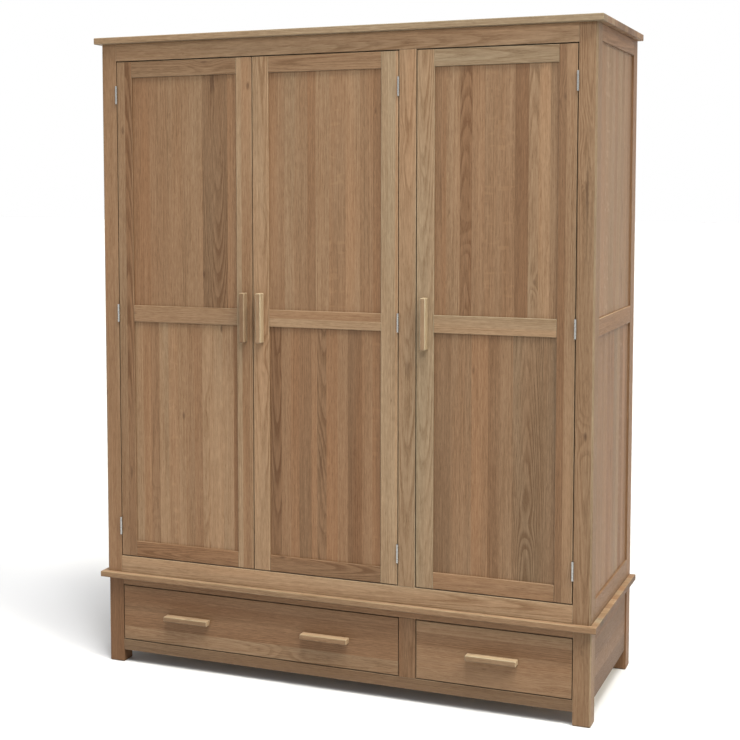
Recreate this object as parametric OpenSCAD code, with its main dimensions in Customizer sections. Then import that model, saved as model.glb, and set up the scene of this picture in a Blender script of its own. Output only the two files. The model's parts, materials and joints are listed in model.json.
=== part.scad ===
// Free-standing solid oak wardrobe: three framed doors over two inset drawers.
// Frame: +Z up, the doors face -Y, the origin is on the floor under the middle of the overall box.

/* [Overall] */
// Height from the floor to the top of the cornice board
total_h = 2000; // [1900:10:2100]
// Width over the corner posts
body_w = 1564; // [1440:4:1700]
// Depth of the carcass, from the front frame to the back
body_d = 600; // [540:10:640]
// How far the cornice and the plinth board stand out in front and at the sides
overhang = 18; // [8:1:30]

/* [Carcass] */
// Face width of the posts, the legs and the centre stile
post_w = 52; // [44:2:64]
// Depth of the corner posts, front to back
post_d = 58; // [50:2:70]
// Thickness of the cornice board
cornice_t = 20; // [16:1:28]
// Height of the front top rail, under the cornice
top_rail_h = 54; // [44:2:64]
// Height of the front bottom rail, over the plinth board
bottom_rail_h = 54; // [44:2:64]
// Thickness of the carcass rails
rail_t = 22; // [18:1:26]
// Height of the mid rails above the floor, to their middle
mid_rail_z = 1135; // [1000:5:1200]
// Thickness of the partition and the wardrobe floor
board_t = 18; // [15:1:20]

/* [Base] */
// Height of the underside of the plinth board
base_h = 280; // [260:5:320]
// Thickness of the plinth board between the base and the doors
plinth_t = 18; // [14:1:24]
// How far the front of the base sits behind the front of the carcass
base_inset = 8; // [0:1:12]
// Height of the drawer openings' lower edge
drawer_bottom_z = 75; // [65:1:90]
// Height of the front bottom rail of the base
base_rail_h = 35; // [28:1:45]
// Height of the front top rail of the base
base_top_rail_h = 25; // [20:1:32]
// Height of the underside of the side boards
side_board_z = 65; // [50:1:80]

/* [Doors] */
// Thickness of the door frames
door_t = 21; // [19:1:24]
// Width of the door stiles and rails
stile_w = 52; // [46:1:60]
// Gap around each door
door_gap = 3; // [3:0.5:4]
// Thickness of the panels
panel_t = 8; // [6:1:10]
// How far the panels lie behind the face of their frame
panel_recess = 6; // [4:1:8]
// How deep the panels reach into the frame's grooves
tongue = 8; // [6:1:10]

/* [Drawers] */
// Gap around each drawer front
drawer_gap = 2.5; // [2:0.5:4]
// Length of the drawer boxes behind their fronts
drawer_box_d = 460; // [400:10:480]
// Height of the drawer boxes
drawer_box_h = 140; // [110:5:140]
// Thickness of the drawer sides
drawer_side_t = 12; // [10:1:15]

/* [Handles] */
// Length of every handle bar
handle_l = 152; // [128:2:180]
// Face width of every handle bar
handle_w = 17; // [14:1:20]
// How far a handle stands out from its door or drawer
handle_out = 26; // [20:1:30]

/* [Hinges] */
// Length of a hinge leaf
hinge_l = 56; // [50:1:64]
// Radius of the hinge barrel
barrel_r = 3.5; // [3:0.1:3.5]
// How far the hinge axis stands in front of the door face
barrel_out = 3.8; // [3.8:0.1:4.5]

/* [Inside] */
// Diameter of the hanging rails
rail_d = 25; // [20:1:30]
// How far the hanging rails lie below the cornice board, to their middle
rail_down = 150; // [130:5:200]

/* [Hidden] */
DOORS = ["left", "middle", "right"];
DRAWERS = ["left", "right"];
DOOR_PIECES = ["hinge_stile", "handle_stile", "rails", "panels", "handle", "hinge_leaves"];
DRAWER_PIECES = ["front", "box", "bottom", "handles"];

$fn = 48;
// Keeps two pieces of one node apart as separate solids
joint_gap = 0.2;
OAK = [0.63, 0.49, 0.36];
PALE_OAK = [0.69, 0.56, 0.42];
PINE = [0.80, 0.68, 0.50];
STEEL = [0.72, 0.72, 0.72];

// Front to back. The bounding box runs from the handles' faces to the back.
front_y = -(body_d - handle_out) / 2;
back_y = front_y + body_d;
base_y = front_y + base_inset;
// Side to side
side_x = body_w / 2;
open_x = side_x - post_w;
door_pitch = (2 * open_x - post_w) / 3;
meet_x = -open_x + door_pitch;
centre_x0 = meet_x + door_pitch;
centre_x1 = centre_x0 + post_w;
centre_x = (centre_x0 + centre_x1) / 2;
// Floor to top
body_z0 = base_h + plinth_t;
body_z1 = total_h - cornice_t;
open_z0 = body_z0 + bottom_rail_h;
open_z1 = body_z1 - top_rail_h;
mid_z0 = mid_rail_z - stile_w / 2;
mid_z1 = mid_rail_z + stile_w / 2;
door_z0 = open_z0 + door_gap;
door_z1 = open_z1 - door_gap;
drawer_z1 = base_h - base_top_rail_h;
// Rounding of the front posts' corners, the rear posts' corners and the legs
post_r = 6;
rear_post_r = 2;
leg_r = 5;
// Side frames: rails and recessed panels
side_top_h = 48;
side_bottom_h = 60;
groove_clear = 0.5;
// Side boards of the base lie this far inside the legs
side_board_in = 4;
// Top of the wardrobe floor, a little below the doors' lower edge
floor_down = 4;
floor_z1 = open_z0 - floor_down;
// Back frame
back_t = 18;
back_recess = 5;
// Hanging rails, in cups screwed to battens
rail_y = front_y + body_d / 2;
rail_z = body_z1 - rail_down;
batten_t = 18;
batten_h = 60;
socket_t = 3;
socket_wall = 3;
socket_flange = 6;
socket_lip = 14;
socket_clear = 0.1;
rail_end_gap = 1;
// Hinges: two leaves in the door gap, with the barrel in front of it
leaf_t = 1.2;
leaf_d = 20;
pin_r = 1.5;
pin_clear = 0.05;
knuckles = 5;
knuckle_gap = 0.4;
hinge_up = 98;
hinge_down = 105;
hinge_zs = [open_z0 + hinge_up, mid_rail_z, open_z1 - hinge_down];
// Catches under the front top rail, at the free edge of each door
catch_w = 40;
catch_h = 14;
catch_d = 16;
catch_in = 70;
// Drawer boxes on wooden runners
runner_h = 12;
runner_w = 26;
box_clear = 5;
slide_gap = 0.5;
bottom_t = 6;
bottom_up = 10;
bottom_clear = 0.2;

module block(x, y, z)
    translate([x[0], y[0], z[0]]) cube([x[1] - x[0], y[1] - y[0], z[1] - z[0]]);

// Upright square timber with all four long corners rounded
module rounded_post(x, y, z, r)
    translate([0, 0, z[0]]) linear_extrude(z[1] - z[0]) {
        translate([x[0] + r, y[0]]) square([x[1] - x[0] - 2 * r, y[1] - y[0]]);
        translate([x[0], y[0] + r]) square([x[1] - x[0], y[1] - y[0] - 2 * r]);
        for (cx = [x[0] + r, x[1] - r]) for (cy = [y[0] + r, y[1] - r])
            translate([cx, cy]) circle(r);
    }

// A piece on the right-hand side, or its mirror image on the left
module on_side(side) mirror([side < 0 ? 1 : 0, 0, 0]) children();

// ---- Upper carcass ----

module cornice_board() color(OAK)
    block([-side_x - overhang, side_x + overhang], [front_y - overhang, back_y], [body_z1, total_h]);

module corner_post(side, front) color(OAK) on_side(side) {
    y = front ? [front_y, front_y + post_d] : [back_y - post_d, back_y];
    difference() {
        rounded_post([open_x, side_x], y, [body_z0, body_z1], front ? post_r : rear_post_r);
        side_panel_pair(groove_clear);
        if (!front) back_panel_pair(groove_clear);
    }
}

// Vertical spans between the side rails, lower then upper
side_openings = [[body_z0 + side_bottom_h, mid_z0], [mid_z1, body_z1 - side_top_h]];

module side_panel_pair(grow = 0)
    for (z = side_openings)
        block([side_x - panel_recess - panel_t - grow, side_x - panel_recess + grow],
              [front_y + post_d - tongue - grow, back_y - post_d + tongue + grow],
              [z[0] - tongue - grow, z[1] + tongue + grow]);

module side_rails(side) color(OAK) on_side(side) difference() {
    for (z = [[body_z0, side_openings[0][0]], [mid_z0, mid_z1], [side_openings[1][1], body_z1]])
        block([side_x - rail_t, side_x], [front_y + post_d, back_y - post_d], z);
    side_panel_pair(groove_clear);
}

module side_panels(side) color(OAK) on_side(side) side_panel_pair();

module front_top_rail() color(OAK)
    block([-open_x, open_x], [front_y, front_y + rail_t], [open_z1, body_z1]);

module front_bottom_rail() color(OAK)
    block([-open_x, open_x], [front_y, front_y + rail_t], [body_z0, open_z0]);

module centre_stile() color(OAK)
    block([centre_x0, centre_x1], [front_y, front_y + rail_t], [open_z0, open_z1]);

module partition() color(OAK)
    block([centre_x - board_t / 2, centre_x + board_t / 2],
          [front_y + rail_t, back_y - back_t], [floor_z1, body_z1]);

// One board, notched round the four posts
module wardrobe_floor() color(OAK) {
    z = [floor_z1 - board_t, floor_z1];
    block([-side_x + rail_t, side_x - rail_t], [front_y + post_d, back_y - post_d], z);
    block([-open_x, open_x], [front_y + rail_t, back_y - back_t], z);
}

// The back's two openings, left and right of its muntin
back_openings = [[-open_x, centre_x - post_w / 2], [centre_x + post_w / 2, open_x]];

module back_panel_pair(grow = 0)
    for (x = back_openings)
        block([x[0] - tongue - grow, x[1] + tongue + grow],
              [back_y - back_recess - panel_t - grow, back_y - back_recess + grow],
              [open_z0 - tongue - grow, open_z1 + tongue + grow]);

module back_frame() color(OAK) difference() {
    union() {
        block([-open_x, open_x], [back_y - back_t, back_y], [body_z0, open_z0]);
        block([-open_x, open_x], [back_y - back_t, back_y], [open_z1, body_z1]);
        block([centre_x - post_w / 2, centre_x + post_w / 2], [back_y - back_t, back_y],
              [open_z0 + joint_gap, open_z1 - joint_gap]);
    }
    back_panel_pair(groove_clear);
}

module back_panels() color(PALE_OAK) back_panel_pair();

// Where each hanging rail runs from and to: left and right compartment
rail_spans = [[-side_x + rail_t + batten_t, centre_x - board_t / 2 - batten_t],
              [centre_x + board_t / 2 + batten_t, side_x - rail_t - batten_t]];

module hanging_rail_battens() color(OAK)
    for (x = rail_spans) for (end = [[x[0] - batten_t, x[0]], [x[1], x[1] + batten_t]])
        block(end, [front_y + post_d, back_y - post_d], [rail_z - batten_h / 2, rail_z + batten_h / 2]);

// Open-topped cups that the rails drop into
module hanging_rail_sockets() color(STEEL)
    for (x = rail_spans) for (end = [0, 1])
        translate([x[end], rail_y, rail_z]) mirror([end, 0, 0]) rotate([0, 90, 0]) {
            cylinder(r = rail_d / 2 + socket_flange, h = socket_t);
            difference() {
                cylinder(r = rail_d / 2 + socket_wall, h = socket_lip);
                translate([0, 0, socket_t]) cylinder(r = rail_d / 2 + socket_clear, h = socket_lip);
                block([-rail_d, 0], [-rail_d / 2 - socket_clear, rail_d / 2 + socket_clear],
                      [socket_t, socket_t + socket_lip]);
            }
        }

module hanging_rail(i) color(STEEL)
    translate([rail_spans[i][0] + socket_t + rail_end_gap, rail_y, rail_z]) rotate([0, 90, 0])
        cylinder(d = rail_d, h = rail_spans[i][1] - rail_spans[i][0] - 2 * (socket_t + rail_end_gap));

module door_catches() color([0.36, 0.28, 0.22])
    for (x = [meet_x - catch_in, meet_x + catch_in, centre_x1 + catch_in])
        block([x - catch_w / 2, x + catch_w / 2],
              [front_y + rail_t, front_y + rail_t + catch_d], [open_z1 - catch_h, open_z1 + catch_h]);

// ---- Base ----

module plinth_board() color(OAK)
    block([-side_x - overhang, side_x + overhang], [front_y - overhang, back_y], [base_h, body_z0]);

module leg(side, front) color(OAK) on_side(side)
    rounded_post([open_x, side_x], front ? [base_y, base_y + post_w] : [back_y - post_w, back_y],
                 [0, base_h], leg_r);

module base_top_rail() color(OAK)
    block([-open_x, open_x], [base_y, base_y + rail_t], [drawer_z1, base_h]);

module base_bottom_rail() color(OAK)
    block([-open_x, open_x], [base_y, base_y + rail_t], [drawer_bottom_z - base_rail_h, drawer_bottom_z]);

// Front stile between the drawers, with the board behind it that carries the inner runners
module drawer_divider() color(OAK) {
    block([centre_x0, centre_x1], [base_y, base_y + rail_t], [drawer_bottom_z, drawer_z1]);
    block([centre_x - board_t / 2, centre_x + board_t / 2],
          [base_y + rail_t + joint_gap, back_y - back_t], [drawer_bottom_z, base_h]);
}

module side_board(side) color(OAK) on_side(side)
    block([side_x - side_board_in - board_t, side_x - side_board_in],
          [base_y + post_w, back_y - post_w], [side_board_z, base_h]);

module base_back_board() color(OAK)
    block([-open_x, open_x], [back_y - back_t, back_y], [side_board_z, base_h]);

// Inner faces of the drawer openings behind the front frame
drawer_spans = [[-open_x, centre_x0], [centre_x1, open_x]];
runner_y = [base_y + post_w, back_y - post_w];
outer_wall = side_x - side_board_in - board_t;

module drawer_runners() color(PINE) {
    z = [drawer_bottom_z, drawer_bottom_z + runner_h];
    block([-outer_wall, -open_x + runner_w], runner_y, z);
    block([open_x - runner_w, outer_wall], runner_y, z);
    block([centre_x0 - runner_w, centre_x - board_t / 2], runner_y, z);
    block([centre_x + board_t / 2, centre_x1 + runner_w], runner_y, z);
}

// ---- Doors ----

// Left and right edge of each door, and which side its hinges are on
door_edges = [[-open_x + door_gap, meet_x - door_gap / 2],
              [meet_x + door_gap / 2, centre_x0 - door_gap],
              [centre_x1 + door_gap, open_x - door_gap]];
hinge_side = [-1, 1, 1];
door_y = [front_y, front_y + door_t];
// Vertical spans between the door rails, lower then upper
door_openings = [[open_z0 + stile_w, mid_z0], [mid_z1, open_z1 - stile_w]];

module door_panel_pair(i, grow = 0)
    for (z = door_openings)
        block([door_edges[i][0] + stile_w - tongue - grow, door_edges[i][1] - stile_w + tongue + grow],
              [front_y + panel_recess - grow, front_y + panel_recess + panel_t + grow],
              [z[0] - tongue - grow, z[1] + tongue + grow]);

module door_stile(i, side) color(OAK) difference() {
    x = side < 0 ? [door_edges[i][0], door_edges[i][0] + stile_w]
                 : [door_edges[i][1] - stile_w, door_edges[i][1]];
    block(x, door_y, [door_z0, door_z1]);
    door_panel_pair(i, groove_clear);
}

module door_rails(i) color(OAK) difference() {
    for (z = [[door_z0, door_openings[0][0]], [mid_z0, mid_z1], [door_openings[1][1], door_z1]])
        block([door_edges[i][0] + stile_w, door_edges[i][1] - stile_w], door_y, z);
    door_panel_pair(i, groove_clear);
}

module door_panels(i) color(OAK) door_panel_pair(i);

module door_handle(i) color(PALE_OAK) {
    x = hinge_side[i] < 0 ? door_edges[i][1] - stile_w / 2 : door_edges[i][0] + stile_w / 2;
    block([x - handle_w / 2, x + handle_w / 2], [front_y - handle_out, front_y],
          [mid_rail_z - handle_l / 2, mid_rail_z + handle_l / 2]);
}

// The hinge axis is in the middle of the gap between the door and its post
function hinge_x(i) = hinge_side[i] < 0 ? door_edges[i][0] - door_gap / 2 : door_edges[i][1] + door_gap / 2;

// One leaf with its share of the barrel. The leaf on the door lies on the +X side of the axis here.
module hinge_leaf(on_door) {
    pitch = hinge_l / knuckles;
    x0 = on_door ? door_gap / 2 - leaf_t : -door_gap / 2;
    difference() {
        union() {
            block([x0, x0 + leaf_t], [barrel_out, barrel_out + leaf_d], [-hinge_l / 2, hinge_l / 2]);
            for (k = [0 : knuckles - 1]) if ((k % 2 == 1) == on_door)
                translate([0, 0, -hinge_l / 2 + k * pitch + knuckle_gap / 2]) {
                    cylinder(r = barrel_r, h = pitch - knuckle_gap);
                    block([x0, x0 + leaf_t], [0, barrel_out + leaf_t], [0, pitch - knuckle_gap]);
                }
        }
        if (on_door) cylinder(r = pin_r + pin_clear, h = 2 * hinge_l, center = true);
    }
}

module at_hinges(i)
    for (z = hinge_zs)
        translate([hinge_x(i), front_y - barrel_out, z]) mirror([hinge_side[i] > 0 ? 1 : 0, 0, 0]) children();

module door_hinge_leaves(i) color(STEEL) at_hinges(i) hinge_leaf(true);

// The frame leaves carry the pins
module hinge_frame_leaves() color(STEEL)
    for (i = [0 : 2]) at_hinges(i) {
        hinge_leaf(false);
        cylinder(r = pin_r, h = hinge_l, center = true);
    }

// ---- Drawers ----

module drawer_front(i) color(OAK)
    block([drawer_spans[i][0] + drawer_gap, drawer_spans[i][1] - drawer_gap], [base_y, base_y + door_t],
          [drawer_bottom_z + drawer_gap, drawer_z1 - drawer_gap]);

function box_x(i) = [drawer_spans[i][0] + box_clear, drawer_spans[i][1] - box_clear];
box_y = [base_y + door_t, base_y + door_t + drawer_box_d];
box_z = [drawer_bottom_z + runner_h + slide_gap, drawer_bottom_z + runner_h + slide_gap + drawer_box_h];

module drawer_bottom_board(i, grow = 0)
    block([box_x(i)[0] + drawer_side_t / 2 - grow, box_x(i)[1] - drawer_side_t / 2 + grow],
          [box_y[0], box_y[1] - drawer_side_t / 2 + grow],
          [box_z[0] + bottom_up - grow, box_z[0] + bottom_up + bottom_t + grow]);

module drawer_box(i) color(PINE) difference() {
    union() {
        block([box_x(i)[0], box_x(i)[0] + drawer_side_t], box_y, box_z);
        block([box_x(i)[1] - drawer_side_t, box_x(i)[1]], box_y, box_z);
        block([box_x(i)[0] + drawer_side_t + joint_gap, box_x(i)[1] - drawer_side_t - joint_gap],
              [box_y[1] - drawer_side_t, box_y[1]], box_z);
    }
    drawer_bottom_board(i, bottom_clear);
}

module drawer_bottom(i) color(PINE) drawer_bottom_board(i);

module drawer_handles(i) color(PALE_OAK) {
    w = drawer_spans[i][1] - drawer_spans[i][0];
    mid_z = (drawer_bottom_z + drawer_z1) / 2;
    for (x = i == 0 ? [w / 4, w * 3 / 4] : [w / 2])
        translate([drawer_spans[i][0] + x, 0, 0])
            block([-handle_l / 2, handle_l / 2], [base_y - handle_out, base_y],
                  [mid_z - handle_w / 2, mid_z + handle_w / 2]);
}

// ---- Nodes ----

cornice_board();
corner_post(-1, true);  // left_front_post
corner_post(1, true);  // right_front_post
corner_post(-1, false);  // left_rear_post
corner_post(1, false);  // right_rear_post
side_rails(-1);  // left_side_rails
side_rails(1);  // right_side_rails
side_panels(-1);  // left_side_panels
side_panels(1);  // right_side_panels
front_top_rail();
front_bottom_rail();
centre_stile();
partition();
wardrobe_floor();
back_frame();
back_panels();
hanging_rail_battens();
hanging_rail_sockets();
hanging_rail(0);  // left_hanging_rail
hanging_rail(1);  // right_hanging_rail
hinge_frame_leaves();
door_catches();
plinth_board();
leg(-1, true);  // left_front_leg
leg(1, true);  // right_front_leg
leg(-1, false);  // left_rear_leg
leg(1, false);  // right_rear_leg
base_top_rail();
base_bottom_rail();
drawer_divider();
side_board(-1);  // left_side_board
side_board(1);  // right_side_board
base_back_board();
drawer_runners();
for (i = [0 : 2]) {
    door_stile(i, hinge_side[i]);
    door_stile(i, -hinge_side[i]);
    door_rails(i);
    door_panels(i);
    door_handle(i);
    door_hinge_leaves(i);
}
for (i = [0 : 1]) {
    drawer_front(i);
    drawer_box(i);
    drawer_bottom(i);
    drawer_handles(i);
}
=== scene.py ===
import json
import math
import random
from bisect import bisect

import bmesh
import bpy
from mathutils import Euler, Matrix, Vector


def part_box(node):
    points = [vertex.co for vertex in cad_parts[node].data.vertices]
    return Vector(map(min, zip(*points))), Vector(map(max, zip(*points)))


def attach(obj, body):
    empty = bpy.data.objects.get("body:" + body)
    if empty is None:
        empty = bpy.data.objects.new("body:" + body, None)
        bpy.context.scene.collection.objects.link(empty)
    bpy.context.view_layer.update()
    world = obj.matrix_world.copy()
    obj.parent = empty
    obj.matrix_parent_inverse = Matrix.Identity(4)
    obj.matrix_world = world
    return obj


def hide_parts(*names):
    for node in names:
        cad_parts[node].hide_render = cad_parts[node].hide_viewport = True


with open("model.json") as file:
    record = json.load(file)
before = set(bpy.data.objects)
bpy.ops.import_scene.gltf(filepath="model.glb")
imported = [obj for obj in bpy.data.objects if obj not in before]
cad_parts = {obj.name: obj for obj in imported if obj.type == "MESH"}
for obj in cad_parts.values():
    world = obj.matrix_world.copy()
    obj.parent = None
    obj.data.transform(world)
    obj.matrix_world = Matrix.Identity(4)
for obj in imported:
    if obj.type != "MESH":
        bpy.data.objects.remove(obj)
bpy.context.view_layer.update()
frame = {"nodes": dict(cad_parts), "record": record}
RECORD = frame["record"]
BODY_OF = {node: body for body, nodes in RECORD["behaviour"]["bodies"].items() for node in nodes}
SLOT_OF = {part["node"]: part["material_slot"] for part in RECORD["subparts"]}
MM = 0.001
X, Y, Z = range(3)

# ---- What each stave looks like ----

# Brightness and warmth. A warmth above 0 is redder, and one below 0 is greyer.
TONES = {
    "ash": (1.22, -1.7),
    "pale": (1.24, -1.0),
    "light": (1.12, -0.5),
    "mid": (1.00, 0.0),
    "gold": (1.06, 0.6),
    "red": (0.93, 0.9),
    "grey": (0.92, -0.6),
    "brown": (0.85, 0.5),
    "dark": (0.74, 0.9),
    "umber": (0.72, 1.7),
}
# Further brightness of a node's boards, in the order that solids() gives them. Besides their own tone, they
# paint shade: the left drawer front, the left front leg and the base's bottom rail are made darker towards
# the bottom left.
SHADES = {
    "cornice_board": [0.98],
    "plinth_board": [0.92],
    "left_front_post": [0.97],
    "right_front_post": [0.95],
    "front_bottom_rail": [1.04],
    "front_top_rail": [0.90],
    "centre_stile": [0.94],
    "left_door_hinge_stile": [0.88],
    "left_door_rails": [0.90, 0.92, 0.84],
    "left_door_panels": [1.05, 0.92],
    "middle_door_handle_stile": [1.08],
    "middle_door_hinge_stile": [1.06],
    "middle_door_rails": [0.86, 1.00, 0.92],
    "middle_door_panels": [0.92, 0.94],
    "right_door_handle_stile": [1.02],
    "right_door_hinge_stile": [0.86],
    "right_door_rails": [0.94, 1.02, 0.92],
    "right_door_panels": [0.91, 0.92],
    "right_side_rails": [0.94, 0.92, 0.97],
    "right_side_panels": [0.88, 0.98],
    "right_side_board": [0.75],
    "left_side_board": [0.82],
    "left_drawer_front": [0.88],
    "drawer_divider": [0.92, 1.00],
    "base_bottom_rail": [0.69],
    "left_front_leg": [0.84],
    "right_front_leg": [0.93],
}

# Where the log's heart lies from a stave, in mm: sideways, behind, and how far it comes nearer per metre
CUTS = {
    "flat": ((-10, 10), (34, 60), (10, 26)),
    "rift": ((45, 90), (40, 70), (2, 10)),
    "quarter": ((90, 160), (-4, 4), (0, 3)),
    "curly": ((-14, 14), (22, 36), (26, 50)),
}
# How strongly the rings show on each cut
FIGURE = {"flat": 1.1, "rift": 0.7, "quarter": 0.5, "curly": 1.7}

# The staves of each solid of a node, in the order that solids() gives them. A stave has its width in mm, tone
# and cut. Staves run from left to right, from the bottom up, or from the front to the back.
STAVES = {
    "cornice_board": [
        "60 ash rift, 55 mid flat, 40 pale quarter, 50 brown rift, 45 pale rift, 60 mid flat, "
        "50 pale rift, 55 brown rift, 45 light quarter, 50 brown flat, 48 pale rift, 60 mid rift",
    ],
    "left_front_post": ["52 mid rift"],
    "right_front_post": ["52 mid flat"],
    "left_rear_post": ["52 mid rift"],
    "right_rear_post": ["52 brown rift"],
    "left_side_rails": ["60 mid rift", "52 light rift", "48 mid flat"],
    "right_side_rails": ["60 brown rift", "52 gold rift", "48 gold flat"],
    "left_side_panels": [
        "48 mid rift, 60 light rift, 42 brown flat, 66 light rift, 50 mid quarter, 58 mid rift, "
        "44 red rift, 62 light flat, 70 mid rift",
        "55 light rift, 70 pale rift, 45 mid rift, 62 light quarter, 40 brown rift, 66 light rift, "
        "52 mid flat, 60 light rift, 50 red rift",
    ],
    "right_side_panels": [
        "30 brown rift, 58 gold rift, 36 mid rift, 48 light rift, 34 red rift, 60 gold flat, 52 mid rift, "
        "40 pale rift, 50 red quarter, 42 gold rift, 50 red rift",
        "34 mid rift, 66 light rift, 60 light quarter, 74 light rift, 44 mid rift, 60 pale rift, "
        "40 mid flat, 54 light rift, 34 mid rift, 34 brown rift",
    ],
    "front_top_rail": ["54 pale flat"],
    "front_bottom_rail": ["54 pale flat"],
    "centre_stile": ["52 pale flat"],
    "left_door_hinge_stile": ["27 light rift, 25 brown curly"],
    "left_door_handle_stile": ["17 pale rift, 35 mid rift"],
    "left_door_rails": ["52 red curly", "52 light rift", "52 mid flat"],
    "left_door_panels": [
        "38 light rift, 30 mid rift, 32 brown flat, 36 light rift, 34 mid quarter, 30 light rift, "
        "34 mid rift, 30 brown rift, 28 light flat, 48 light rift, 40 light rift, 26 dark rift",
        "66 red rift, 60 mid rift, 62 light rift, 58 light rift, 84 brown curly, 40 mid rift",
    ],
    "middle_door_handle_stile": ["52 light flat"],
    "middle_door_hinge_stile": ["44 ash rift, 8 pale rift"],
    "middle_door_rails": ["52 red curly", "26 pale rift, 26 mid rift", "52 mid flat"],
    "middle_door_panels": [
        "46 dark curly, 30 mid rift, 28 red rift, 40 brown rift, 18 gold rift, 30 brown curly, "
        "36 red rift, 32 mid rift, 46 dark rift, 32 mid rift, 36 red quarter",
        "58 mid rift, 34 light rift, 42 mid rift, 26 brown rift, 44 light rift, 52 mid quarter, "
        "46 light rift, 40 mid rift, 36 red rift",
    ],
    "right_door_handle_stile": ["52 ash flat"],
    "right_door_hinge_stile": ["22 brown rift, 30 light rift"],
    "right_door_rails": ["52 mid flat", "20 pale rift, 32 ash rift", "52 ash flat"],
    "right_door_panels": [
        "60 brown rift, 62 mid rift, 50 gold rift, 34 brown rift, 38 mid rift, 90 grey curly, "
        "44 grey rift",
        "42 red rift, 42 light rift, 36 brown curly, 38 mid rift, 38 mid quarter, 50 mid quarter, "
        "40 dark rift, 30 light curly, 32 pale rift, 32 mid rift",
    ],
    "plinth_board": [
        "58 light flat, 50 ash rift, 52 mid rift, 54 pale rift, 50 brown rift, 52 light quarter, "
        "56 brown rift, 48 pale rift, 50 red rift, 56 mid flat, 52 light rift, 50 brown rift",
    ],
    "left_front_leg": ["52 umber rift"],
    "right_front_leg": ["52 mid flat"],
    "left_rear_leg": ["52 mid rift"],
    "right_rear_leg": ["52 brown rift"],
    "base_top_rail": ["25 brown rift"],
    "base_bottom_rail": ["35 grey rift"],
    "drawer_divider": ["52 brown curly", "70 mid rift, 70 light rift, 65 mid flat"],
    "left_side_board": ["60 mid rift, 50 brown rift, 55 mid flat, 50 light rift"],
    "right_side_board": ["58 dark rift, 52 red quarter, 56 brown rift, 49 red rift"],
    "left_drawer_front": ["44 light curly, 54 red rift, 44 brown rift, 33 red rift"],
    "left_door_handle": ["17 brown rift"],
    "middle_door_handle": ["17 pale rift"],
    "right_door_handle": ["17 pale rift"],
    "left_drawer_handles": ["17 grey rift", "17 light flat"],
    "right_drawer_handles": ["17 pale rift"],
    "right_drawer_front": ["50 mid flat, 52 mid rift, 40 brown rift, 33 light rift"],
}
# One knot or dark streak in a stave of a node, by (solid, stave): its place along and across the grain in the
# frame, half its length and half its width, all in mm, and how dark it is
MARKS = {
    "right_front_post": {(0, 0): (1515, 757, 95, 5, 0.8)},
    "left_door_hinge_stile": {(0, 1): (628, -690, 24, 6, 0.6), (0, 0): (1710, -708, 16, 7, 0.8)},
    "left_door_panels": {(1, 4): (1852, -397, 48, 10, 0.85), (0, 10): (840, -378, 150, 3.5, 0.55)},
    "middle_door_panels": {(1, 8): (1752, 134, 12, 4, 0.7), (0, 5): (700, -40, 60, 6, 0.4),
                           (0, 9): (880, 80, 7, 3, 0.8)},
    "middle_door_hinge_stile": {(0, 0): (905, 186, 8, 3, 0.6)},
    "right_door_panels": {(1, 7): (1262, 610, 12, 6, 0.5), (1, 0): (1500, 334, 120, 5, 0.4)},
    "centre_stile": {(0, 0): (1000, 236, 40, 9, 0.4)},
    "right_front_leg": {(0, 0): (214, 756, 12, 8, 0.4)},
    "right_drawer_front": {(0, 1): (470, 130, 10, 3, 0.5)},
}
# The place and darkness of a mark that is too far off to show
NO_MARK = (99, 99, 0)
# Width in mm of the staves of wide nodes that STAVES doesn't list. Other such nodes have one stave per solid.
NOMINAL = {"partition": 62, "wardrobe_floor": 70, "base_back_board": 70, "left_drawer_bottom": 90,
           "right_drawer_bottom": 90, "left_drawer_box": 70, "right_drawer_box": 70}
# The back's lining is made of separate tongued boards of this width, in mm
LINING_BOARD = 86
LINING_VEE = 1.6 * MM
PLAIN_TONES = ["light", "mid", "mid", "light", "brown", "red"]
PLAIN_CUTS = ["rift", "rift", "quarter", "flat"]

# ---- Edges ----

# How much each kind of edge is broken or rounded
ARRIS = 0.5 * MM
STILE_ARRIS = 1.0 * MM
RAIL_ARRIS = 1.7 * MM
SIDE_ARRIS = 1.8 * MM
BOARD_ROUND = 2.6 * MM
POST_ROUND = 7 * MM
LEG_ROUND = 5 * MM
FOOT_ROUND = 6 * MM
HANDLE_ROUND = 3 * MM
# An edge whose faces turn by more than this is sharp
SHARP = math.radians(50)
# An edge test takes the edge's place on its block, from 0 to 1 on each axis, and the axis that the edge runs
# along. A place past one of these lies at that end of the block.
LOW_END, HIGH_END = 0.1, 0.9


def no_edge(place, axis):
    return False


def every_edge(place, axis):
    return True


def outer_corner(side):
    """The test for the upright outer front edge of a post or leg on the left (-1) or right (1)."""
    return lambda place, axis: axis == Z and (place.x > HIGH_END) == (side > 0) and place.y < LOW_END


def foot_edge(place, axis):
    """The edges round the sole of a leg."""
    return axis != Z and place.z < LOW_END


def open_edge(place, axis):
    """Every edge but the four round the back."""
    return axis == Y or place.y < LOW_END


def front_edge(place, axis):
    """The edges round the face that shows on the front."""
    return axis != Y and place.y < LOW_END


def side_edge(side):
    """The test for the edges round the face that shows on the left (-1) or right (1) side."""
    return lambda place, axis: axis != X and (place.x > HIGH_END if side > 0 else place.x < LOW_END)


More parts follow.
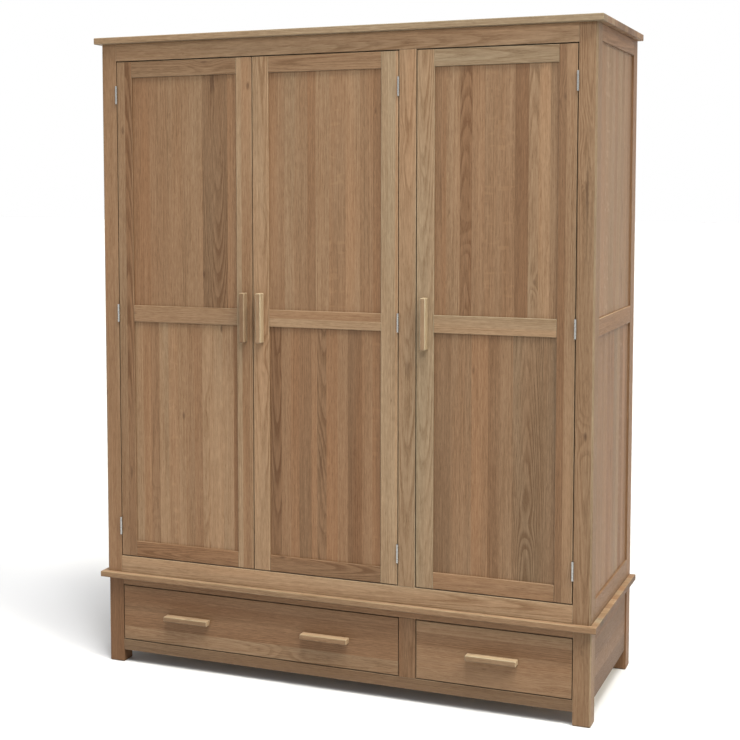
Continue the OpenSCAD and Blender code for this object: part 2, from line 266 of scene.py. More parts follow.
def rounds_of(node):
    """(test, radius, segments) of each group of edges of a node's blocks that is rounded."""
    side = -1 if node.startswith("left") else 1
    if node.endswith("front_post"):
        return [(outer_corner(side), POST_ROUND, 7)]
    if node.endswith("_leg"):
        corner = outer_corner(side) if "front" in node else no_edge
        return [(corner, LEG_ROUND, 6), (foot_edge, FOOT_ROUND, 4)]
    if node in ("cornice_board", "plinth_board"):
        return [(open_edge, BOARD_ROUND, 4)]
    if is_handle(node):
        return [(open_edge, HANDLE_ROUND, 4)]
    if node.endswith(("side_rails", "side_board")):
        return [(side_edge(side), SIDE_ARRIS, 4)]
    if node.endswith(("rails", "rail", "drawer_front")):
        return [(front_edge, RAIL_ARRIS, 4)]
    if node.endswith("stile"):
        return [(front_edge, STILE_ARRIS, 3)]
    return []


def sharp_edges(bm, lo, size, test):
    """The edges of a block at lo of that size which are still sharp and pass the test."""
    found = []
    for edge in bm.edges:
        ends = [v.co - lo for v in edge.verts]
        run = ends[1] - ends[0]
        axis = max(range(3), key=lambda i: abs(run[i]))
        middle = (ends[0] + ends[1]) / 2
        place = Vector(middle[i] / size[i] for i in range(3))
        if edge.calc_face_angle(0) > SHARP and test(place, axis):
            found.append(edge)
    return found


def eased_block(lo, hi, rounds, arris):
    """A block from lo to hi as a bmesh: rounded where rounds says, and its other edges broken by arris."""
    bm = bmesh.new()
    size = hi - lo
    bmesh.ops.create_cube(bm, size=1, matrix=Matrix.LocRotScale((lo + hi) / 2, None, size))
    for test, radius, segments in rounds + [(every_edge, arris, 2)]:
        edges = sharp_edges(bm, lo, size, test) if radius else []
        if edges:
            bmesh.ops.bevel(bm, geom=edges, offset=radius, offset_type="OFFSET", segments=segments,
                            profile=0.5, affect="EDGES", clamp_overlap=True)
    return bm


# ---- Boards and staves ----

# How bright the parts of a board are beside its face: its ends, which are darker end grain; its arrises,
# paler as a painted highlight; and the arrises that look down, darker as painted shade
END_GRAIN = (0.58, 1.08)
ARRIS_HIGHLIGHT, UNDER_ARRIS_SHADE = 1.26, 0.80
# The painted highlight of arrises that differ, by solid: those of the side rails, and the posts' rounded
# corners
ARRIS_HIGHLIGHTS_BY_SOLID = {"right_side_rails": [0.85, 1.95, 1.00], "left_side_rails": [0.85, 1.95, 1.00],
               "right_front_post": [1.12], "left_front_post": [1.12]}
# Handles are painted paler on their ends, edges and sides: painted highlights of the light from above and the
# right
HANDLE_END_HIGHLIGHT, HANDLE_ARRIS_HIGHLIGHT, HANDLE_SIDE_HIGHLIGHT = 1.75, 1.85, 1.80
# The plinth is darker on its ends, and paler on top as a painted highlight of the light from above
PLINTH_END, PLINTH_TOP_HIGHLIGHT = (0.42, 0.70), 1.32
# How much greyer a face gets as it gets paler, so that painted highlights look like a pale sheen, and how
# much greyer every arris is, as part of that painted sheen
GREYING = 1.8
ARRIS_SHEEN_GREY = 1.2
# A face looks along an axis if its normal's share of it is past FACING. It is part of an arris if no share
# reaches FLAT, and looks down if the share of Z is below DOWNWARD.
FACING, FLAT, DOWNWARD = 0.7, 0.98, -0.1
# Each stave starts somewhere along a log of this length, in metres
LOG_LENGTH = 40.0
# A board is nearly square if its thickness is over this share of its width
SQUARE = 0.8
# How far staves differ by chance in brightness, warmth and width
BRIGHTNESS_SPREAD = (0.97, 1.03)
WARMTH_SPREAD = (-0.25, 0.25)
WIDTH_SPREAD = (0.75, 1.25)
# Corners of a solid nearer than this are one
WELD = 0.02 * MM


def split_axes(lo, hi):
    """The axes along the grain, across the face and through the thickness of a board.

    A nearly square post's face is its front."""
    size = hi - lo
    thick, across, along = sorted(range(3), key=lambda i: size[i])
    if across == Y and size[thick] > SQUARE * size[across]:
        thick, across = across, thick
    return along, across, thick


def read_staves(text):
    """[(width in mm, tone, cut), ...] from text such as '52 mid flat, 30 light rift'."""
    words = [stave.split() for stave in text.split(",")]
    return [(float(width), tone, cut) for width, tone, cut in words]


def random_staves(width, nominal, rng):
    """Staves of about one width, for a board that STAVES doesn't list."""
    count = max(1, round(width / (nominal * MM)))
    return [(rng.uniform(*WIDTH_SPREAD), rng.choice(PLAIN_TONES), rng.choice(PLAIN_CUTS))
            for _ in range(count)]


class Stave:
    """One strip of wood: its tone, and where in its log it was cut."""

    def __init__(self, centre, axes, length, tone, cut, rng):
        self.centre, self.axes = centre, axes
        sideways, behind, nearing = (rng.uniform(*limits) * MM for limits in CUTS[cut])
        self.slope = nearing * rng.choice([-1, 1])
        self.sideways = sideways * rng.choice([-1, 1])
        self.behind = behind + abs(self.slope) * length / 2
        self.start = rng.uniform(0, LOG_LENGTH)
        brightness, warmth = TONES[tone]
        self.brightness = brightness * rng.uniform(*BRIGHTNESS_SPREAD)
        self.warmth = warmth + rng.uniform(*WARMTH_SPREAD)
        self.end_grain_and_painted_light = rng.uniform(*END_GRAIN)
        # Painted highlights on its arrises and thick sides, set per node later
        self.arris_painted_light = ARRIS_HIGHLIGHT
        self.side_painted_light = 1.0
        self.figure = FIGURE[cut]
        self.mark = None

    def tone_of(self, normal):
        """The brightness, warmth and figure of a face with that normal."""
        along, _, thick = self.axes
        part, warmth = 1.0, self.warmth
        # Ends are darker end grain, or a painted highlight on handles; arrises that look up get a painted
        # highlight and those that look down painted shade; thick sides get a painted highlight, such as a
        # handle's side or the plinth's top.
        if abs(normal[along]) > FACING:
            part = self.end_grain_and_painted_light
        elif max(map(abs, normal)) < FLAT:
            part = self.arris_painted_light if normal[Z] > DOWNWARD else UNDER_ARRIS_SHADE
            warmth -= ARRIS_SHEEN_GREY
        elif abs(normal[thick]) > FACING:
            part = self.side_painted_light
        return self.brightness * part, warmth - GREYING * (part - 1), self.figure

    def from_mark(self, point):
        """The point's place from the mark, in the mark's half lengths and half widths, and its darkness."""
        if not self.mark:
            return NO_MARK
        at_along, at_across, half_length, half_width, darkness = self.mark
        along, across = (point[axis] for axis in self.axes[:2])
        lengths = (along - at_along * MM) / (half_length * MM)
        widths = (across - at_across * MM) / (half_width * MM)
        return lengths, widths, darkness

    def in_log(self, point):
        """The point's place in the log: along it, and sideways and behind from its heart."""
        along, across, thick = ((point - self.centre)[axis] for axis in self.axes)
        return (self.start + along, self.sideways + across, self.behind + thick + self.slope * along)


class WoodMesh:
    """Collects boards into one mesh, with each corner's place in its log and each face's tone."""

    def __init__(self):
        self.points, self.faces, self.normals = [], [], []
        self.grain, self.tone, self.mark = [], [], []

    def add(self, bm, staves, bounds, axes):
        """Takes in a bmesh whose staves meet at the bounds, measured on the axis across the grain."""
        for bound in bounds:
            plane, normal = Vector(), Vector()
            plane[axes[1]], normal[axes[1]] = bound, 1
            bmesh.ops.bisect_plane(bm, geom=bm.verts[:] + bm.edges[:] + bm.faces[:],
                                   plane_co=plane, plane_no=normal)
        base = len(self.points)
        self.points += [v.co.copy() for v in bm.verts]
        bm.verts.index_update()
        bm.normal_update()
        for face in bm.faces:
            stave = staves[bisect(bounds, face.calc_center_median()[axes[1]])]
            self.faces.append([base + v.index for v in face.verts])
            self.tone.append(stave.tone_of(face.normal))
            for vert in face.verts:
                self.grain.append(stave.in_log(vert.co))
                self.mark.append(stave.from_mark(vert.co))
                near = [f for f in vert.link_faces if f.normal.dot(face.normal) > math.cos(SHARP)]
                self.normals.append(sum((f.normal * f.calc_area() for f in near), Vector()).normalized())
        bm.free()

    def build(self, name, material):
        """The collected boards as one object."""
        mesh = bpy.data.meshes.new(name)
        mesh.from_pydata(self.points, [], self.faces)
        mesh.polygons.foreach_set("use_smooth", [True] * len(self.faces))
        for label, domain, rows in (("grain", "CORNER", self.grain), ("mark", "CORNER", self.mark),
                                    ("tone", "FACE", self.tone)):
            layer = mesh.attributes.new(label, "FLOAT_VECTOR", domain)
            layer.data.foreach_set("vector", [value for row in rows for value in row])
        mesh.normals_split_custom_set(self.normals)
        mesh.materials.append(material)
        piece = bpy.data.objects.new(name, mesh)
        bpy.context.scene.collection.objects.link(piece)
        return piece


def solids(node):
    """The lowest and highest corner of each solid of a CAD node.

    They are sorted from the bottom up, then from front to back, then from left to right."""
    bm = bmesh.new()
    bm.from_mesh(frame["nodes"][node].data)
    bmesh.ops.remove_doubles(bm, verts=bm.verts, dist=WELD)
    seen, found = set(), []
    for start in bm.verts:
        if start in seen:
            continue
        seen.add(start)
        island, waiting = [], [start]
        while waiting:
            vert = waiting.pop()
            island.append(vert.co.copy())
            fresh = [e.other_vert(vert) for e in vert.link_edges if e.other_vert(vert) not in seen]
            seen.update(fresh)
            waiting += fresh
        found.append((Vector(map(min, zip(*island))), Vector(map(max, zip(*island)))))
    bm.free()
    return sorted(found, key=lambda box: [round(box[0][axis], 3) for axis in (Z, Y, X)])


def is_handle(node):
    return "handle" in node and "stile" not in node


def shade_parts(stave, node, solid_arris_light, rng):
    """Sets the ends, arrises and sides of a stave, on the nodes where they aren't like other boards': painted
    highlights on a handle's ends, arrises and sides, the plinth's darker ends and painted highlight on top,
    and the painted highlight of chosen arrises.
    """
    if is_handle(node):
        stave.end_grain_and_painted_light, stave.arris_painted_light = HANDLE_END_HIGHLIGHT, HANDLE_ARRIS_HIGHLIGHT
        stave.side_painted_light = HANDLE_SIDE_HIGHLIGHT
    elif node == "plinth_board":
        stave.end_grain_and_painted_light, stave.side_painted_light = rng.uniform(*PLINTH_END), PLINTH_TOP_HIGHLIGHT
    elif solid_arris_light:
        stave.arris_painted_light = solid_arris_light


def add_board(wood, node, lo, hi, staves, shade, solid_arris_light, marks, rng):
    """Adds a board made of staves, glued edge to edge, or each with its own edges in the back's lining."""
    arris = 0 if node.endswith("panels") else ARRIS
    apart = node == "back_panels"
    axes = split_axes(lo, hi)
    along, across, _ = axes
    total = sum(width for width, _, _ in staves)
    edge, made, bounds = lo[across], [], []
    for index, (width, tone, cut) in enumerate(staves):
        step = (hi - lo)[across] * width / total
        centre = (lo + hi) / 2
        centre[across] = edge + step / 2
        stave = Stave(centre, axes, (hi - lo)[along], tone, cut, rng)
        stave.brightness *= shade
        stave.mark = marks.get(index)
        shade_parts(stave, node, solid_arris_light, rng)
        made.append(stave)
        if apart:
            low, high = lo.copy(), hi.copy()
            low[across], high[across] = edge, edge + step
            wood.add(eased_block(low, high, [], LINING_VEE), [stave], [], axes)
        edge += step
        bounds.append(edge)
    if not apart:
        wood.add(eased_block(lo, hi, rounds_of(node), arris), made, bounds[:-1], axes)


def staves_of(node, index, width, rng):
    """The staves of a node's solid of that width: the listed ones, or random ones."""
    if node in STAVES:
        return read_staves(STAVES[node][index])
    nominal = LINING_BOARD if node == "back_panels" else NOMINAL.get(node, width / MM)
    return random_staves(width, nominal, rng)


def wooden(node, material):
    """Replaces a CAD node by boards of the same size and place."""
    rng = random.Random(node)
    wood = WoodMesh()
    for index, (lo, hi) in enumerate(solids(node)):
        width = (hi - lo)[split_axes(lo, hi)[1]]
        staves = staves_of(node, index, width, rng)
        marks = {stave: mark for (solid, stave), mark in MARKS.get(node, {}).items() if solid == index}
        shade = SHADES[node][index] if node in SHADES else 1
        # The painted highlight of this solid's arrises, where it differs from other boards'
        solid_arris_light = ARRIS_HIGHLIGHTS_BY_SOLID[node][index] if node in ARRIS_HIGHLIGHTS_BY_SOLID else None
        add_board(wood, node, lo, hi, staves, shade, solid_arris_light, marks, rng)
    piece = wood.build(node + "_wood", material)
    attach(piece, BODY_OF[node])
    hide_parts(node)


# ---- Node helpers ----


class Nodes:
    """Short ways to add shader nodes to a tree."""

    def __init__(self, tree):
        self.tree = tree

    def add(self, kind, inputs=(), **settings):
        node = self.tree.nodes.new(kind)
        for name, value in settings.items():
            setattr(node, name, value)
        for name, value in dict(inputs).items():
            if isinstance(value, bpy.types.NodeSocket):
                self.tree.links.new(value, node.inputs[name])
            else:
                node.inputs[name].default_value = value
        return node

    def math(self, operation, *values, clamp=False):
        inputs = dict(enumerate(values))
        return self.add("ShaderNodeMath", inputs, operation=operation, use_clamp=clamp).outputs[0]

    def vector(self, operation, *values):
        return self.add("ShaderNodeVectorMath", dict(enumerate(values)), operation=operation)

    def stretch(self, vector, *scale):
        return self.vector("MULTIPLY", vector, scale).outputs[0]

    def scale(self, vector, factor):
        return self.add("ShaderNodeVectorMath", {0: vector, "Scale": factor}, operation="SCALE").outputs[0]

    def noise(self, vector, detail=2.0, roughness=0.5, scale=1.0):
        inputs = {"Vector": vector, "Scale": scale, "Detail": detail, "Roughness": roughness}
        return self.add("ShaderNodeTexNoise", inputs)

    def centred(self, vector, detail=2.0):
        """Noise on three channels, each mostly from -0.3 to 0.3."""
        colour = self.noise(vector, detail).outputs["Color"]
        return self.vector("SUBTRACT", colour, (0.5, 0.5, 0.5)).outputs[0]

    def level(self, vector, detail=2.0):
        """Noise mostly from -0.3 to 0.3."""
        return self.math("SUBTRACT", self.noise(vector, detail).outputs[0], 0.5)

    def total(self, *shares):
        """The sum of each value times its weight."""
        result = 0.0
        for value, weight in shares:
            result = self.math("MULTIPLY_ADD", value, weight, result)
        return result

    def ramp(self, value, low, high, to_low=0.0, to_high=1.0):
        """value taken smoothly from low..high to to_low..to_high."""
        inputs = {"Value": value, "From Min": low, "From Max": high, "To Min": to_low, "To Max": to_high}
        return self.add("ShaderNodeMapRange", inputs, interpolation_type="SMOOTHSTEP").outputs[0]

    def mix(self, factor, a, b, blend="MIX"):
        node = self.add("ShaderNodeMix", data_type="RGBA", blend_type=blend)
        for socket, value in ((node.inputs[0], factor), (node.inputs[6], a), (node.inputs[7], b)):
            if isinstance(value, bpy.types.NodeSocket):
                self.tree.links.new(value, socket)
            else:
                socket.default_value = value
        return node.outputs[2]


def new_material(name):
    material = bpy.data.materials.new(name)
    material.use_nodes = True
    nodes = Nodes(material.node_tree)
    return material, nodes, material.node_tree.nodes["Principled BSDF"]


# ---- Wood ----

# The numbers below that stretch a place are how many times a pattern changes per metre: along the log, then
# sideways and behind.

# The usual width of a year's ring, and by how many rings their places stray
RING = 3.6 * MM
UNEVEN_YEARS = 3.4
# Each small natural knot draws a lot from 0 to 1, and only those above this show
RARE_KNOT = 0.80
# How far the grain swerves round a knot, in metres
SWERVE = 0.008
# The range over which the heart wanders and the rings ripple, in metres
WANDER, RIPPLE = 0.022, 0.0024


def natural_knots(n, place):
    """How dark a small knot is here, and how far the grain swerves round it, both from 0 to 1."""
    cells = n.add("ShaderNodeTexVoronoi", {"Vector": n.stretch(place, 6, 15, 15), "Scale": 1.0})
    lot = n.add("ShaderNodeSeparateColor", {0: cells.outputs["Color"]}).outputs[0]
    rare = n.math("GREATER_THAN", lot, RARE_KNOT)
    far = cells.outputs["Distance"]
    knot = n.math("MULTIPLY", n.ramp(far, 0.02, 0.11, 1, 0), rare)
    swerve = n.math("MULTIPLY", n.ramp(far, 0.0, 0.55, 1, 0), rare)
    return knot, swerve


def placed_marks(n, place):
    """The same for the knots and streaks of MARKS."""
    attribute = n.add("ShaderNodeAttribute", attribute_name="mark").outputs["Vector"]
    lengths, widths, darkness = n.add("ShaderNodeSeparateXYZ", {0: attribute}).outputs
    from_mark = n.add("ShaderNodeCombineXYZ", {0: lengths, 1: widths}).outputs[0]
    ragged = n.stretch(n.centred(n.stretch(place, 70, 260, 260)), 0.5, 1.2, 0)
    far = n.vector("LENGTH", n.vector("ADD", from_mark, ragged).outputs[0]).outputs["Value"]
    knot = n.math("MULTIPLY", n.ramp(far, 0.3, 1.1, 1, 0), darkness)
    swerve = n.math("MULTIPLY", n.ramp(far, 0.0, 3.5, 1, 0), darkness)
    return knot, swerve


def bend(n, place):
    """The place in a trunk that isn't straight: its heart wanders slowly, and its rings ripple."""
    wander = n.centred(n.stretch(place, 0.8, 6, 6), detail=2)
    ripple = n.centred(n.stretch(place, 6, 34, 34), detail=2)
    bent = n.vector("ADD", place, n.stretch(wander, 0, WANDER, WANDER)).outputs[0]
    return n.vector("ADD", bent, n.stretch(ripple, 0, RIPPLE, RIPPLE)).outputs[0]


def year_rings(n, place, radius):
    """Rings of uneven width, each porous at first and dense later: the porous part, and how much it shows."""
    years = n.add("ShaderNodeTexNoise", {"W": n.math("MULTIPLY", radius, 55.0), "Scale": 1.0, "Detail": 1.0},
                  noise_dimensions="1D").outputs[0]
    age = n.math("ADD", n.math("DIVIDE", radius, RING), n.math("MULTIPLY", years, UNEVEN_YEARS))
    phase = n.math("FRACT", age)
    early = n.math("MULTIPLY", n.ramp(phase, 0.0, 0.14), n.ramp(phase, 0.20, 0.80, 1, 0))
    strength = n.ramp(n.level(n.stretch(place, 1.6, 16, 16), detail=1), -0.2, 0.2, 0.15, 1)
    return early, n.math("MULTIPLY", early, strength)


def streaks_along(n, bent):
    """Long streaks of colour along the grain, from wide to fine, and short dashes."""
    return n.total((n.level(n.stretch(bent, 0.45, 26, 26), detail=2), 0.35),
                   (n.level(n.stretch(bent, 1.0, 85, 85), detail=2), 0.42),
                   (n.level(n.stretch(bent, 3.5, 300, 300), detail=2), 0.85),
                   (n.level(n.stretch(bent, 30, 380, 380), detail=2), 1.10))


def pores_along(n, bent, early):
    """Short dark scratches along the grain, most of them in the porous part of a ring."""
    grit = n.noise(n.stretch(bent, 60, 1250, 1250), detail=1).outputs[0]
    crowd = n.math("ADD", n.math("MULTIPLY", early, 0.65), 0.35)
    return n.math("MULTIPLY", n.ramp(grit, 0.56, 0.72), crowd)


def rays_outwards(n, along, radius, side, deep):
    """Thin sheets from the heart outwards: wavy flecks on a quartered face, dashes on a flat one.

    They are stretched along the log, outwards from its heart, and round it."""
    angle = n.math("ARCTAN2", deep, side)
    place = n.add("ShaderNodeCombineXYZ", {0: along, 1: radius, 2: angle}).outputs[0]
    sheet = n.stretch(place, 60.0, 20.0, 60.0)
    return n.ramp(n.noise(sheet, detail=1).outputs[0], 0.56, 0.70)


def wood_pattern():
    """A node group that gives solid oak's figures at a place in its log."""
    group = bpy.data.node_groups.new("solid_oak", "ShaderNodeTree")
    n = Nodes(group)
    group.interface.new_socket("Place", in_out="INPUT", socket_type="NodeSocketVector")
    for output in ("Ring", "Streak", "Pore", "Ray", "Knot", "Cloud", "Blush"):
        group.interface.new_socket(output, in_out="OUTPUT", socket_type="NodeSocketFloat")
    place = n.add("NodeGroupInput").outputs[0]

    knot, swerve = (n.math("MAXIMUM", *pair) for pair in zip(natural_knots(n, place), placed_marks(n, place)))
    bent = bend(n, place)
    along, side, deep = n.add("ShaderNodeSeparateXYZ", {0: bent}).outputs
    from_heart = n.add("ShaderNodeCombineXYZ", {1: side, 2: deep}).outputs[0]
    radius = n.vector("LENGTH", from_heart).outputs["Value"]
    radius = n.math("ADD", radius, n.math("MULTIPLY", swerve, SWERVE))
    early, ring = year_rings(n, place, radius)
    n.add("NodeGroupOutput", {
        "Ring": ring,
        "Streak": streaks_along(n, bent),
        "Pore": pores_along(n, bent, early),
        "Ray": rays_outwards(n, along, radius, side, deep),
        "Knot": knot,
        "Cloud": n.level(n.stretch(place, 1.5, 11, 11), detail=2),
        "Blush": n.level(n.stretch(place, 0.9, 14, 14), detail=2),
    })
    return group


PATTERN = wood_pattern()
# What a warmth of 1 adds to red, green and blue
REDDER = (0.055, -0.035, -0.100)
# The red, green and blue of rays beside light wood, and of pores beside dark wood
RAY_GAIN = (1.15, 1.13, 1.06)
PORE_GAIN = (0.5, 0.45, 0.4)
KNOT_COLOUR = (0.060, 0.028, 0.013, 1)
KNOT_SHARE = 0.7
# How far plain wood lies from light to dark, and how much slow clouds change that and the warmth
MEAN_DEPTH, CLOUD_SHARE, BLUSH_SHARE = 0.42, 0.55, 3.0
WAX_ROUGHNESS, WAX_SHINE = 0.54, 0.16


def times(colour, gains):
    """An RGBA colour: red, green and blue, each times its gain."""
    return (*(channel * gain for channel, gain in zip(colour, gains)), 1)


def wax(n, shader, ring, pore, ray, cloud):
    """A waxed surface: how rough it is, and its shallow relief."""
    rough = n.math("ADD", n.total((pore, 0.20), (ray, -0.06), (cloud, 0.15)), WAX_ROUGHNESS)
    n.tree.links.new(rough, shader.inputs["Roughness"])
    shader.inputs["Specular IOR Level"].default_value = WAX_SHINE
    height = n.total((pore, -1.0), (ring, -0.25), (ray, 0.12))
    bump = n.add("ShaderNodeBump", {"Strength": 0.35, "Distance": 0.25 * MM, "Height": height})
    n.tree.links.new(bump.outputs[0], shader.inputs["Normal"])


def wood_material(name, light, dark, rings, streaks, pores, rays):
    """Waxed wood whose colour lies between light and dark. The last four say how much each figure shows."""
    material, n, shader = new_material(name)
    place = n.add("ShaderNodeAttribute", attribute_name="grain").outputs["Vector"]
    tone = n.add("ShaderNodeAttribute", attribute_name="tone").outputs["Vector"]
    brightness, warmth, figure = n.add("ShaderNodeSeparateXYZ", {0: tone}).outputs
    pattern = n.add("ShaderNodeGroup", node_tree=PATTERN)
    n.tree.links.new(place, pattern.inputs[0])
    ring, streak, pore, ray, knot, cloud, blush = pattern.outputs

    shown = n.total((n.math("MULTIPLY", ring, figure), rings), (streak, streaks), (cloud, CLOUD_SHARE))
    depth = n.math("ADD", shown, MEAN_DEPTH, clamp=True)
    colour = n.mix(depth, (*light, 1), (*dark, 1))
    colour = n.mix(n.math("MULTIPLY", ray, rays), colour, times(light, RAY_GAIN))
    colour = n.mix(n.math("MULTIPLY", pore, pores), colour, times(dark, PORE_GAIN))
    colour = n.mix(n.math("MULTIPLY", knot, KNOT_SHARE), colour, KNOT_COLOUR)
    redness = n.math("ADD", warmth, n.math("MULTIPLY", blush, BLUSH_SHARE))
    tint = n.vector("ADD", n.scale(REDDER, redness), (1, 1, 1)).outputs[0]
    colour = n.mix(1.0, colour, n.scale(tint, brightness), blend="MULTIPLY")
    n.tree.links.new(colour, shader.inputs["Base Color"])
    wax(n, shader, ring, pore, ray, cloud)
    return material


OAK_LIGHT, OAK_DARK = (0.245, 0.150, 0.084), (0.134, 0.071, 0.034)


def oak(name, gain=1.0, rings=0.46, streaks=1.00, pores=0.50, rays=0.16):
    scaled = [tuple(channel * gain for channel in colour) for colour in (OAK_LIGHT, OAK_DARK)]
    return wood_material(name, *scaled, rings, streaks, pores, rays)


WOODS = {
    "oak_frame": oak("waxed_oak_frame"),
    "oak_door": oak("waxed_oak_door"),
    "oak_panel": oak("waxed_oak_panel", rays=0.22),
    "oak_drawer": oak("waxed_oak_drawer", 0.95),
    "oak_handle": oak("waxed_oak_handle", 0.90, rings=0.25),
    "oak_back": oak("bare_oak_lining", 1.05, rays=0.15),
    "pine": wood_material("sanded_pine", (0.50, 0.33, 0.17), (0.33, 0.18, 0.08), 0.55, 0.45, 0.10, 0.05),
}

for node, slot in SLOT_OF.items():
    if slot in WOODS:
        wooden(node, WOODS[slot])

# ---- Metal and plastic ----

# How much clouds change steel's roughness, and how dark they make steel and plastic
STEEL_CLOUD, STEEL_DULL, PLASTIC_DARK = 0.18, 0.82, 0.8
PLASTIC_ROUGHNESS = (0.42, 0.58)


def steel_material(name, colour, roughness, scratches):
    """Plated steel with fine scratches and a slightly cloudy shine."""
    material, n, shader = new_material(name)
    place = n.add("ShaderNodeTexCoord").outputs["Object"]
    lines = n.noise(n.stretch(place, 900, 900, 60), detail=2).outputs[0]
    cloud = n.noise(n.stretch(place, 35, 35, 35), detail=3).outputs[0]
    rough = n.math("ADD", roughness, n.math("MULTIPLY", n.math("SUBTRACT", cloud, 0.5), STEEL_CLOUD))
    rough = n.math("ADD", rough, n.math("MULTIPLY", n.math("SUBTRACT", lines, 0.5), scratches))
    n.tree.links.new(rough, shader.inputs["Roughness"])
    dull = times(colour, [STEEL_DULL] * 3)
    n.tree.links.new(n.mix(cloud, (*colour, 1), dull), shader.inputs["Base Color"])
    bump = n.add("ShaderNodeBump", {"Strength": 0.15, "Distance": 0.05 * MM, "Height": lines})
    n.tree.links.new(bump.outputs[0], shader.inputs["Normal"])
    shader.inputs["Metallic"].default_value = 1.0
    return material


def plastic_material(name, colour):
    """Moulded plastic with a fine grained skin."""
    material, n, shader = new_material(name)
    place = n.add("ShaderNodeTexCoord").outputs["Object"]
    grain = n.noise(n.stretch(place, 1800, 1800, 1800), detail=2).outputs[0]
    cloud = n.noise(n.stretch(place, 60, 60, 60), detail=2).outputs[0]
    darker = times(colour, [PLASTIC_DARK] * 3)
    n.tree.links.new(n.mix(cloud, (*colour, 1), darker), shader.inputs["Base Color"])
    n.tree.links.new(n.ramp(grain, 0.3, 0.7, *PLASTIC_ROUGHNESS), shader.inputs["Roughness"])
    bump = n.add("ShaderNodeBump", {"Strength": 0.3, "Distance": 0.1 * MM, "Height": grain})
    n.tree.links.new(bump.outputs[0], shader.inputs["Normal"])
    return material


HINGE_STEEL = steel_material("satin_nickel", (0.40, 0.40, 0.39), 0.26, 0.22)
RAIL_STEEL = steel_material("polished_tube", (0.76, 0.76, 0.77), 0.14, 0.10)
CATCH_PLASTIC = plastic_material("catch_plastic", (0.105, 0.055, 0.030))
FITTINGS = {"steel_hinge": HINGE_STEEL, "steel_rail": RAIL_STEEL, "catch_plastic": CATCH_PLASTIC}

for node, slot in SLOT_OF.items():
    if slot in FITTINGS:
        cad = frame["nodes"][node]
        cad.data.materials.clear()
        cad.data.materials.append(FITTINGS[slot])

SCREW_RADIUS = 2.8 * MM
SCREW_PROUD = 0.12 * MM
SCREW_DEPTH = 0.6 * MM
SCREW_BEVEL = 0.8 * SCREW_PROUD
SLOT_HALF_WIDTH, SLOT_HALF_LENGTH = 0.4 * MM, 1.8 * MM
SLOT_DEPTH = SCREW_DEPTH / 2
# Places of the screws on a hinge leaf, behind the front and from its middle height
SCREWS = ((8 * MM, -19 * MM), (14 * MM, 0.0), (8 * MM, 19 * MM))
# Thickness of a hinge leaf
LEAF = 1.2 * MM


def cross_slot(bm):
    """Cuts the outline of a cross slot into a screw's top, and gives the faces inside it."""
    for normal in (Vector((1, 0, 0)), Vector((0, 1, 0))):
        for offset in (SLOT_HALF_WIDTH, SLOT_HALF_LENGTH):
            for side in (-1, 1):
                bmesh.ops.bisect_plane(bm, geom=bm.verts[:] + bm.edges[:] + bm.faces[:],
                                       plane_co=normal * offset * side, plane_no=normal)
    slot = []
    for face in bm.faces:
        middle = face.calc_center_median()
        thin, long = sorted((abs(middle.x), abs(middle.y)))
        if face.normal.z > 0.99 and thin < SLOT_HALF_WIDTH and long < SLOT_HALF_LENGTH:
            slot.append(face)
    return slot


def screw_head():
    """A countersunk head with a cross slot as a bmesh. Its axis is Z, and z = 0 is the face it is sunk in."""
    bm = bmesh.new()
    middle = Matrix.Translation((0, 0, SCREW_PROUD - SCREW_DEPTH / 2))
    bmesh.ops.create_cone(bm, cap_ends=True, segments=28, radius1=SCREW_RADIUS, radius2=SCREW_RADIUS,
                          depth=SCREW_DEPTH, matrix=middle)
    rim = [e for e in bm.edges if all(v.co.z > 0 for v in e.verts)]
    bmesh.ops.bevel(bm, geom=rim, offset=SCREW_BEVEL, segments=2, affect="EDGES")
    slot = cross_slot(bm)
    sunk = bmesh.ops.extrude_face_region(bm, geom=slot)["geom"]
    bmesh.ops.delete(bm, geom=slot, context="FACES_ONLY")
    for vert in sunk:
        if isinstance(vert, bmesh.types.BMVert):
            vert.co.z -= SLOT_DEPTH
    return bm


def add_head(bm, place):
    """Adds a screw head, moved and turned by place, to a bmesh."""
    head = screw_head()
    head.transform(place)
    part = bpy.data.meshes.new("head")
    head.to_mesh(part)
    head.free()
    bm.from_mesh(part)
    bpy.data.meshes.remove(part)


def screws(name, body, face_x, outward, heights):
    """The screws of the leaves whose bare face is at face_x and looks left (outward -1) or right (1)."""
    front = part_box("centre_stile")[0][Y]
    rng = random.Random(name)
    aim = Matrix.Rotation(math.radians(90 * outward), 4, "Y")
    bm = bmesh.new()
    for height in heights:
        for behind, above in SCREWS:
            spin = Matrix.Rotation(rng.uniform(0, math.pi), 4, "Z")
            place = Matrix.Translation((face_x, front + behind, height + above))
            add_head(bm, place @ aim @ spin)
    mesh = bpy.data.meshes.new(name)
    bm.to_mesh(mesh)
    bm.free()
    mesh.materials.append(HINGE_STEEL)
    piece = bpy.data.objects.new(name, mesh)
    bpy.context.scene.collection.objects.link(piece)
    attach(piece, body)


def door_screws(door, post, side):
    """The screws of a door's hinges, which are on its left (-1) or right (1), beside that post."""
    heights = [(lo.z + hi.z) / 2 for lo, hi in solids(door + "_door_hinge_leaves")]
    door_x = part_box(door + "_door_hinge_stile")[0 if side < 0 else 1][X]
    post_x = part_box(post)[1 if side < 0 else 0][X]
    screws(door + "_door_hinge_screws", door + "_door", door_x + side * LEAF, side, heights)
    screws(door + "_frame_hinge_screws", "carcass", post_x - side * LEAF, -side, heights)


door_screws("left", "left_front_post", -1)
door_screws("middle", "centre_stile", 1)
door_screws("right", "right_front_post", 1)

# ---- Studio ----

# Where the camera stands, in metres, and how it is turned, in degrees
CAMERA_AT = (1.590, -4.258, 1.527)
CAMERA_TURN, CAMERA_TILT, CAMERA_ROLL = 23.12, -4.29, -0.16
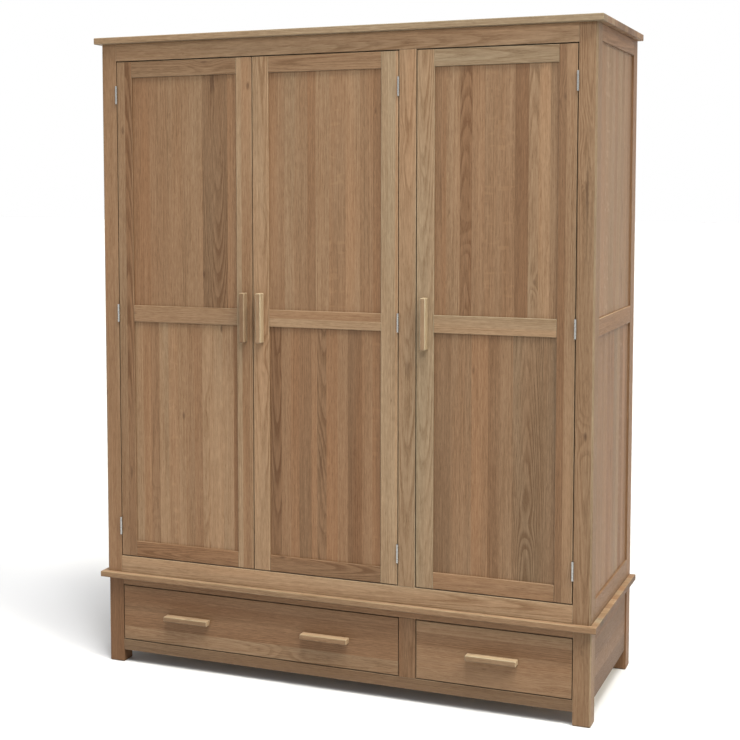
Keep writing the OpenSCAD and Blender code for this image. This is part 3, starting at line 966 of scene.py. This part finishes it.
# Focal length and sensor width, in mm
CAMERA_LENS, SENSOR_WIDTH = 70.1, 36
CAMERA_SHIFT = (0.095, -0.099)


def camera():
    data = bpy.data.cameras.new("camera")
    data.lens, data.sensor_width = CAMERA_LENS, SENSOR_WIDTH
    data.shift_x, data.shift_y = CAMERA_SHIFT
    data.dof.use_dof = False
    cam = bpy.data.objects.new("camera", data)
    cam.location = CAMERA_AT
    turn = Matrix.Rotation(math.radians(CAMERA_TURN), 4, "Z")
    tilt = Matrix.Rotation(math.radians(90 + CAMERA_TILT), 4, "X")
    roll = Matrix.Rotation(math.radians(CAMERA_ROLL), 4, "Z")
    cam.rotation_euler = (turn @ tilt @ roll).to_euler()
    bpy.context.scene.collection.objects.link(cam)
    bpy.context.scene.camera = cam


def softbox(name, power, width, place, target):
    """A square area lamp of that width in metres at place, aimed at target."""
    data = bpy.data.lights.new(name, "AREA")
    data.energy, data.size = power, width
    lamp = bpy.data.objects.new(name, data)
    lamp.location = place
    lamp.rotation_euler = (Vector(place) - Vector(target)).to_track_quat("Z", "Y").to_euler()
    bpy.context.scene.collection.objects.link(lamp)


def sun(name, level, turn, height, spread, colour=(1, 1, 1)):
    """A soft distant lamp. It gives a white surface that faces it that level.

    turn is 0 from the front and 90 from the right, height is above the horizon, and spread is how wide it
    looks, all in degrees."""
    data = bpy.data.lights.new(name, "SUN")
    data.color = colour
    data.energy, data.angle = level * math.pi, math.radians(spread)
    lamp = bpy.data.objects.new(name, data)
    lamp.rotation_euler = Euler((math.radians(90 - height), 0, math.radians(turn)))
    bpy.context.scene.collection.objects.link(lamp)


# Half the floor's width, in metres
FLOOR_HALF = 60.0
# The floor's grey, and how much darker its darkest patches are
PALE, PATCH = 0.62, 0.985


def floor():
    """A wide pale floor with a faint unevenness, on the plane that the legs stand on."""
    bm = bmesh.new()
    bmesh.ops.create_grid(bm, x_segments=24, y_segments=24, size=FLOOR_HALF)
    mesh = bpy.data.meshes.new("floor")
    bm.to_mesh(mesh)
    bm.free()
    material, n, shader = new_material("pale_floor")
    place = n.add("ShaderNodeTexCoord").outputs["Object"]
    cloud = n.noise(n.stretch(place, 0.8, 0.8, 0.8), detail=2).outputs[0]
    shades = [(PALE * share, PALE * share, PALE * share, 1) for share in (1.0, PATCH)]
    n.tree.links.new(n.mix(cloud, *shades), shader.inputs["Base Color"])
    shader.inputs["Roughness"].default_value = 0.8
    mesh.materials.append(material)
    piece = bpy.data.objects.new("floor", mesh)
    bpy.context.scene.collection.objects.link(piece)


# The sky's strength changes between these two shares of height, as a direction's Z
BAND_TOP = (0.16, 0.40)


def sky(above, horizon):
    """An even pale sky with a brighter band along the horizon and below it."""
    world = bpy.data.worlds.new("sky")
    bpy.context.scene.world = world
    world.use_nodes = True
    n = Nodes(world.node_tree)
    background = world.node_tree.nodes["Background"]
    background.inputs["Color"].default_value = (1, 1, 1, 1)
    direction = n.add("ShaderNodeTexCoord").outputs["Generated"]
    rise = n.add("ShaderNodeSeparateXYZ", {0: direction}).outputs["Z"]
    n.tree.links.new(n.ramp(rise, *BAND_TOP, horizon, above), background.inputs["Strength"])


bpy.context.scene.view_settings.view_transform = "Standard"
camera()
floor()
sky(above=0.50, horizon=1.00)
softbox("key", power=28, width=0.5, place=(0.9, -2.3, 3.0), target=(0, -0.28, 1.1))
sun("top_light", level=1.06, turn=35, height=70, spread=22)
sun("side_fill", level=0.73, turn=71, height=50, spread=20, colour=(1.0, 0.95, 0.80))
